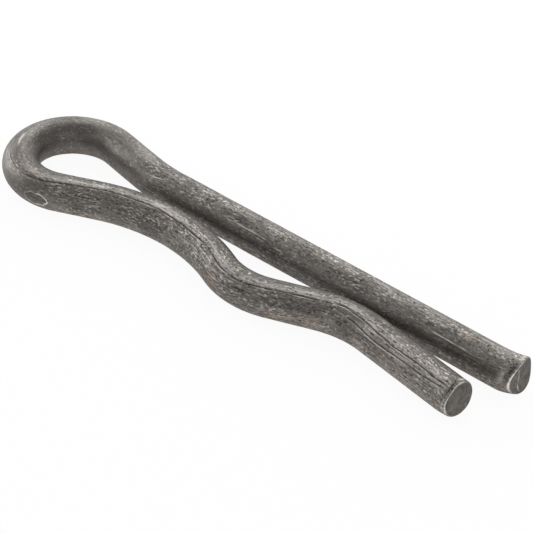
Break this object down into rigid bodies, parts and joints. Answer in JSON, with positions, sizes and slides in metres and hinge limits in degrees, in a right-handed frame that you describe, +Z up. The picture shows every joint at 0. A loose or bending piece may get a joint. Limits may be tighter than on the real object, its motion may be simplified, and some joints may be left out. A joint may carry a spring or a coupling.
{
  "type": "hairpin cotter pin",
  "caption": "Hairpin cotter pin of round spring wire: a straight leg for a cross hole, a waved spring leg that snaps round the shaft, and an open eye to pull it by.",
  "frame": {"origin": "under the middle of the pin's outline, on the surface that it lies on", "axes": "+X from the eye toward the cut ends, along the straight leg; +Y from the spring leg toward the straight leg; +Z up, square to the plane of the bends"},
  "size_m": [0.0706, 0.017, 0.0045],
  "materials": {
    "spring_wire": "plain hard-drawn spring steel wire with a thin dark oxide skin, satin, with drawing lines and rubbed bright cut ends"
  },
  "bodies": {
    "root": {"hairpin_wire": "spring_wire"}
  },
  "joints": []
}
